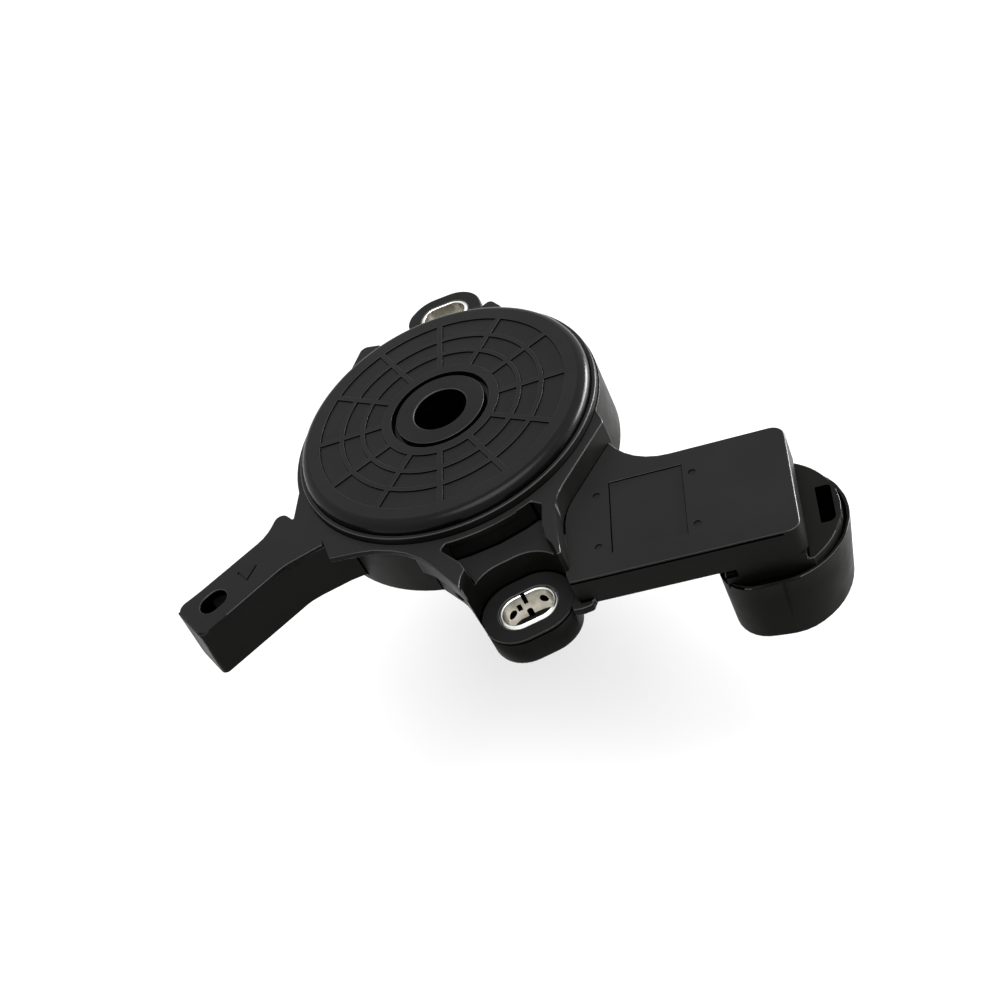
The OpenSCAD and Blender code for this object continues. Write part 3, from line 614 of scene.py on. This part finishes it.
def housing_width(edge):
    """Rounding of the housing: wide under the ears, sharp at the marks and the grooves."""
    a, b = (v.co for v in edge.verts)
    if within(a, MARKS + SEAMS) and within(b, MARKS + SEAMS):
        return 0.0
    mid = (a + b) / 2
    if max(abs(a.z), abs(b.z)) < 0.3 * MM:
        in_hole = min((mid.xy - Vector(ear) * MM).length for ear in (EAR_FRONT, EAR_REAR)) < 6.8 * MM
        return 0.15 * MM if in_hole else 1.2 * MM
    if mid.x < -62 * MM and abs(a.z - b.z) > 0.6 * (a - b).length:
        corner = math.degrees(edge.calc_face_angle(0.0))
        return 1.2 * MM if corner > 60 else 0.5 * MM if corner > 42 else 0.0
    on_arm_ledge = mid.x < -30 * MM and 17.5 * MM < mid.z < 19.0 * MM
    if on_arm_ledge or 34.8 * MM < mid.xy.length < 35.8 * MM and abs(mid.z - ARM_TOP * MM) < 0.1 * MM:
        return 0.12 * MM
    if mid.z < 6.9 * MM and mid.x < -48 * MM:
        return 0.2 * MM if mid.x < -63 * MM else 0.7 * MM
    return 0.40 * MM


def in_ear_hole(point, centre, turn):
    """True on the wall of the hole in which a bushing sits."""
    along, across = turned(turn)
    away = point.xy - Vector(centre)
    reach = (abs(away.dot(Vector(along[:2]))), abs(away.dot(Vector(across[:2]))))
    return reach[0] < 6.7 and reach[1] < 4.75 and point.z < EAR_TOP - 0.3


def housing_rule(face):
    """Painted shade: black for the grooves, the steep sides of the marks, the arm's slot, the latch window, the left
    and top walls of the panel, the low step of the box by the hood, the walls of the ear holes and the inside and rim
    band of the hood.
    """
    if all(within(v.co, SEAMS) for v in face.verts):
        return 2
    if abs(face.normal.z) < 0.5 and all(within(v.co, MARKS) for v in face.verts):
        return 2
    mid = face.calc_center_median() / MM
    if (mid.xy - Vector(SLOT_AT)).length < SLOT_REACH and mid.z < ARM_TOP - 0.6:
        return 2
    u, v = mid.x * BOX_U[0] + mid.y * BOX_U[1], -mid.x * BOX_U[1] + mid.y * BOX_U[0]
    if WINDOW[0] < u < WINDOW[1] and WINDOW[2] < v < WINDOW[3] and mid.z < 4.3:
        return 2
    if PANEL_Z < mid.z < DECK_TOP - 0.01 and abs(face.normal.z) < 0.97:
        by_left = abs(u - PANEL[0]) < 0.4 and PANEL[2] < v < PANEL[3]
        by_top = abs(v - PANEL[3]) < 0.4 and PANEL[0] < u < PANEL[1]
        if by_left or by_top:
            return 2
    if u < BLOCK_START and v < -46 and 0.3 < mid.z < 6.3 and u > 50:
        return 2
    if in_ear_hole(mid, EAR_FRONT, 0.0) or in_ear_hole(mid, EAR_REAR, EAR_REAR_TURN):
        return 2
    from_hood = math.dist((u, v), HOOD_AT)
    if from_hood < HOOD_INSIDE and mid.z < 2.2:
        return 2
    if from_hood < HOOD_RIM and 0.3 < mid.z < 2.3:
        return 2
    return None


def rotor_rule(face):
    """Painted shade: black for the bore below its bevelled mouth."""
    mid = face.calc_center_median() / MM
    return 2 if mid.xy.length < BORE_R + 0.05 and mid.z < HUB_TOP - 0.45 else None


def cover_rule(face):
    """The glossier finish for the rounded rim."""
    mid = face.calc_center_median() / MM
    return 3 if mid.xy.length > 31.8 else None


def smooth(value):
    """Goes softly from 0 to 1."""
    t = max(0.0, min(1.0, value))
    return t * t * (3 - 2 * t)


def raise_hood_lip(obj):
    """Lifts the mouth of the hood at its corner towards the ear, where the real lip is shorter."""
    for vert in obj.data.vertices:
        x, y, z = (c / MM for c in vert.co)
        u, v = x * BOX_U[0] + y * BOX_U[1], -x * BOX_U[1] + y * BOX_U[0]
        share = smooth((69.0 - u) / 10) * smooth((-38.0 - v) / 10) * smooth((-6.0 - z) / 8)
        vert.co.z += LIP_LIFT * MM * share


def rotor_width(edge):
    """Rounding of the rotor: a wide bevel at the mouth of the bore."""
    mid = (edge.verts[0].co + edge.verts[1].co) / 2
    if mid.z > (HUB_TOP - 0.1) * MM and mid.xy.length < (BORE_R + 0.3) * MM:
        return 0.5 * MM
    return 0.25 * MM


housing_piece = rounded_copy("housing", "housing_moulding", housing_width, HOUSING_CUTS, thin=True,
                             engraved=MARKS + SEAMS, rule=housing_rule)
raise_hood_lip(housing_piece)
dress(housing_piece, "housing", "housing_body")
cover_piece = rounded_copy("top_cover", "cover_moulding", lambda edge: 0.10 * MM, rule=cover_rule,
                           finishes=(cover_black, cover_highlight_edge, shade_black_finish, rim_black))
dress(cover_piece, "top_cover", "housing_body")
rotor_piece = rounded_copy("rotor", "rotor_moulding", rotor_width, crossed((0, 0, HUB_TOP), 0, 12), thin=True,
                           rule=rotor_rule)
dress(rotor_piece, "rotor", "rotor_body")


def bushing_piece(node, name, centre, turn):
    """A rolled steel bushing with a flared lip, two holes, a slot and a notch at each end of its seam.
    The seam lies towards the drum."""
    length, width, wall, top = 12.86, 8.96, 1.0, EAR_TOP + 0.15
    profile = [(0.10, 0.0), (0.0, 0.15), (0.0, top - 0.5), (0.12, top - 0.36), (0.30, top - 0.32),
               (0.44, top - 0.12), (0.60, top), (0.74, top), (0.90, top - 0.10), (wall, top - 0.3),
               (wall, 0.15), (0.92, 0.0)]
    work = bmesh.new()
    loops = []
    for inset, z in profile:
        points = obround((0, 0), length - 2 * inset, width - 2 * inset, count=32)
        loops.append([work.verts.new((x * MM, y * MM, z * MM)) for x, y in points])
    count = len(loops[0])
    for k, loop in enumerate(loops):
        follow = loops[(k + 1) % len(loops)]
        for i in range(count):
            j = (i + 1) % count
            work.faces.new((loop[i], loop[j], follow[j], follow[i]))
    bmesh.ops.recalc_face_normals(work, faces=work.faces)
    tube = bpy.data.meshes.new(name)
    work.to_mesh(tube)
    work.free()
    seam, low_notch = 0.95, 1.3
    across = Matrix.Rotation(math.radians(90), 4, "X")
    shapes = [disc(-3.65, 4.4, 0.95), [(0.78 * x + 0.75, z) for x, z in disc(3.55, 4.8, 1.08)], disc(-0.25, 3.0, low_notch / 2),
              [(-2.35, 4.0), (-1.35, 4.0), (-1.35, 5.85), (-2.35, 5.85)],
              [(-0.25 - low_notch / 2, 1.1), (-0.25 + low_notch / 2, 1.1), (-0.25 + low_notch / 2, 3.0),
               (-0.25 - low_notch / 2, 3.0)],
              [(-0.6, 5.2), (seam - 0.6, 5.2), (seam - 0.6, 9), (-0.6, 9)]]
    cutters = []
    for outline in shapes:
        cutter = prism(outline, -width / 2 - 0.6, -width / 2 + 3.3)
        cutter.transform(across)
        cutters.append(cutter)
    result = cut_away(tube, cutters)
    half_flat = (length - width) / 2
    # Painted shade: the cut faces of the holes, slot and notches through the steel are black.
    for face in result.polygons:
        x, y, z = face.center / MM
        depth = width / 2 - math.hypot(max(abs(x) - half_flat, 0.0), y)
        face.material_index = int(0.04 < depth < wall - 0.04 and 0.3 < z < top - 0.6)
    result.transform(Matrix.Translation(Vector((*centre, 0)) * MM) @ Matrix.Rotation(math.radians(turn), 4, "Z"))
    obj = new_object(name, result)
    result.materials.append(FINISH[SLOT_OF[node]])
    result.materials.append(shade_black_finish)
    shade(obj, 35)
    dress(obj, node, "housing_body")
    return obj


bushing_piece("front_bushing", "front_bushing_steel", EAR_FRONT, 0.0)
bushing_piece("rear_bushing", "rear_bushing_steel", EAR_REAR, EAR_REAR_TURN)


# Stage, light and camera

def look(obj, at, to, up=Vector((0, 0, 1))):
    forward = (Vector(to) - Vector(at)).normalized()
    right = forward.cross(up).normalized()
    true_up = right.cross(forward)
    m = Matrix((right, true_up, -forward)).transposed().to_4x4()
    m.translation = Vector(at)
    obj.matrix_world = m


def lamp(name, at, to, size, power, shape="RECTANGLE", size_y=None):
    data = bpy.data.lights.new(name, "AREA")
    data.shape = shape
    data.size = size
    data.size_y = size_y or size
    data.energy = power
    obj = bpy.data.objects.new(name, data)
    bpy.context.scene.collection.objects.link(obj)
    look(obj, at, to)
    return obj


FLOOR_Z = -75 * MM
FLOOR_HALF = 6.0
FLOOR_BASE = 0.62
FLOOR_GLOW = 0.37
WORLD_FILL = 0.22


def seen_directly(tree):
    """1 for rays from the camera, off gloss and through glass, 0 for the light that falls on things."""
    paths = tree.nodes.new("ShaderNodeLightPath")
    direct = math_node(tree, "MAXIMUM", paths.outputs["Is Camera Ray"], paths.outputs["Is Glossy Ray"])
    return math_node(tree, "MAXIMUM", direct, paths.outputs["Is Transmission Ray"])


corners = [(x * FLOOR_HALF, y * FLOOR_HALF, FLOOR_Z) for x, y in ((-1, -1), (1, -1), (1, 1), (-1, 1))]
floor_mesh = bpy.data.meshes.new("floor")
floor_mesh.from_pydata(corners, [], [(0, 1, 2, 3)])
floor = bpy.data.objects.new("floor", floor_mesh)
bpy.context.scene.collection.objects.link(floor)
floor_material, tree, shader = new_material("floor_white")
shader.inputs["Base Color"].default_value = (FLOOR_BASE, FLOOR_BASE, FLOOR_BASE, 1)
shader.inputs["Roughness"].default_value = 0.9
shader.inputs["Specular IOR Level"].default_value = 0.0
shader.inputs["Emission Color"].default_value = (1, 1, 1, 1)
glow = math_node(tree, "MULTIPLY", seen_directly(tree), FLOOR_GLOW)
tree.links.new(glow, shader.inputs["Emission Strength"])
floor_mesh.materials.append(floor_material)

world = bpy.data.worlds.new("studio")
bpy.context.scene.world = world
world.use_nodes = True
tree = world.node_tree
background = tree.nodes["Background"]
background.inputs["Color"].default_value = (1, 1, 1, 1)
tree.links.new(spread(tree, seen_directly(tree), WORLD_FILL, 1.0, at=(0, 1)), background.inputs["Strength"])

sun = bpy.data.lights.new("overhead", "SUN")
sun.energy = 2.6
sun.angle = math.radians(44)
sun_object = new_object("overhead", sun)
look(sun_object, (0.06, -0.19, 0.62), (0.0, 0.0, 0.0))
lamp("right_back", (0.50, 0.12, 0.03), (0.03, 0.0, 0.01), 0.36, 6.6, size_y=0.14)

camera_data = bpy.data.cameras.new("camera")
camera = bpy.data.objects.new("camera", camera_data)
bpy.context.scene.collection.objects.link(camera)
camera_data.sensor_width = 36.0
camera_data.sensor_fit = "HORIZONTAL"
camera_data.lens = 52.73
camera_data.clip_start = 0.01
camera_data.clip_end = 100.0
right = Vector((0.8981, -0.2608, -0.3542)).normalized()
up = Vector((0.4374, 0.6152, 0.6559))
up = (up - right * up.dot(right)).normalized()
back = right.cross(up)
m = Matrix((right, up, back)).transposed().to_4x4()
m.translation = Vector((18.21, -255.62, 220.67)) * MM
camera.matrix_world = m
bpy.context.scene.camera = camera
bpy.context.scene.view_settings.view_transform = "Standard"
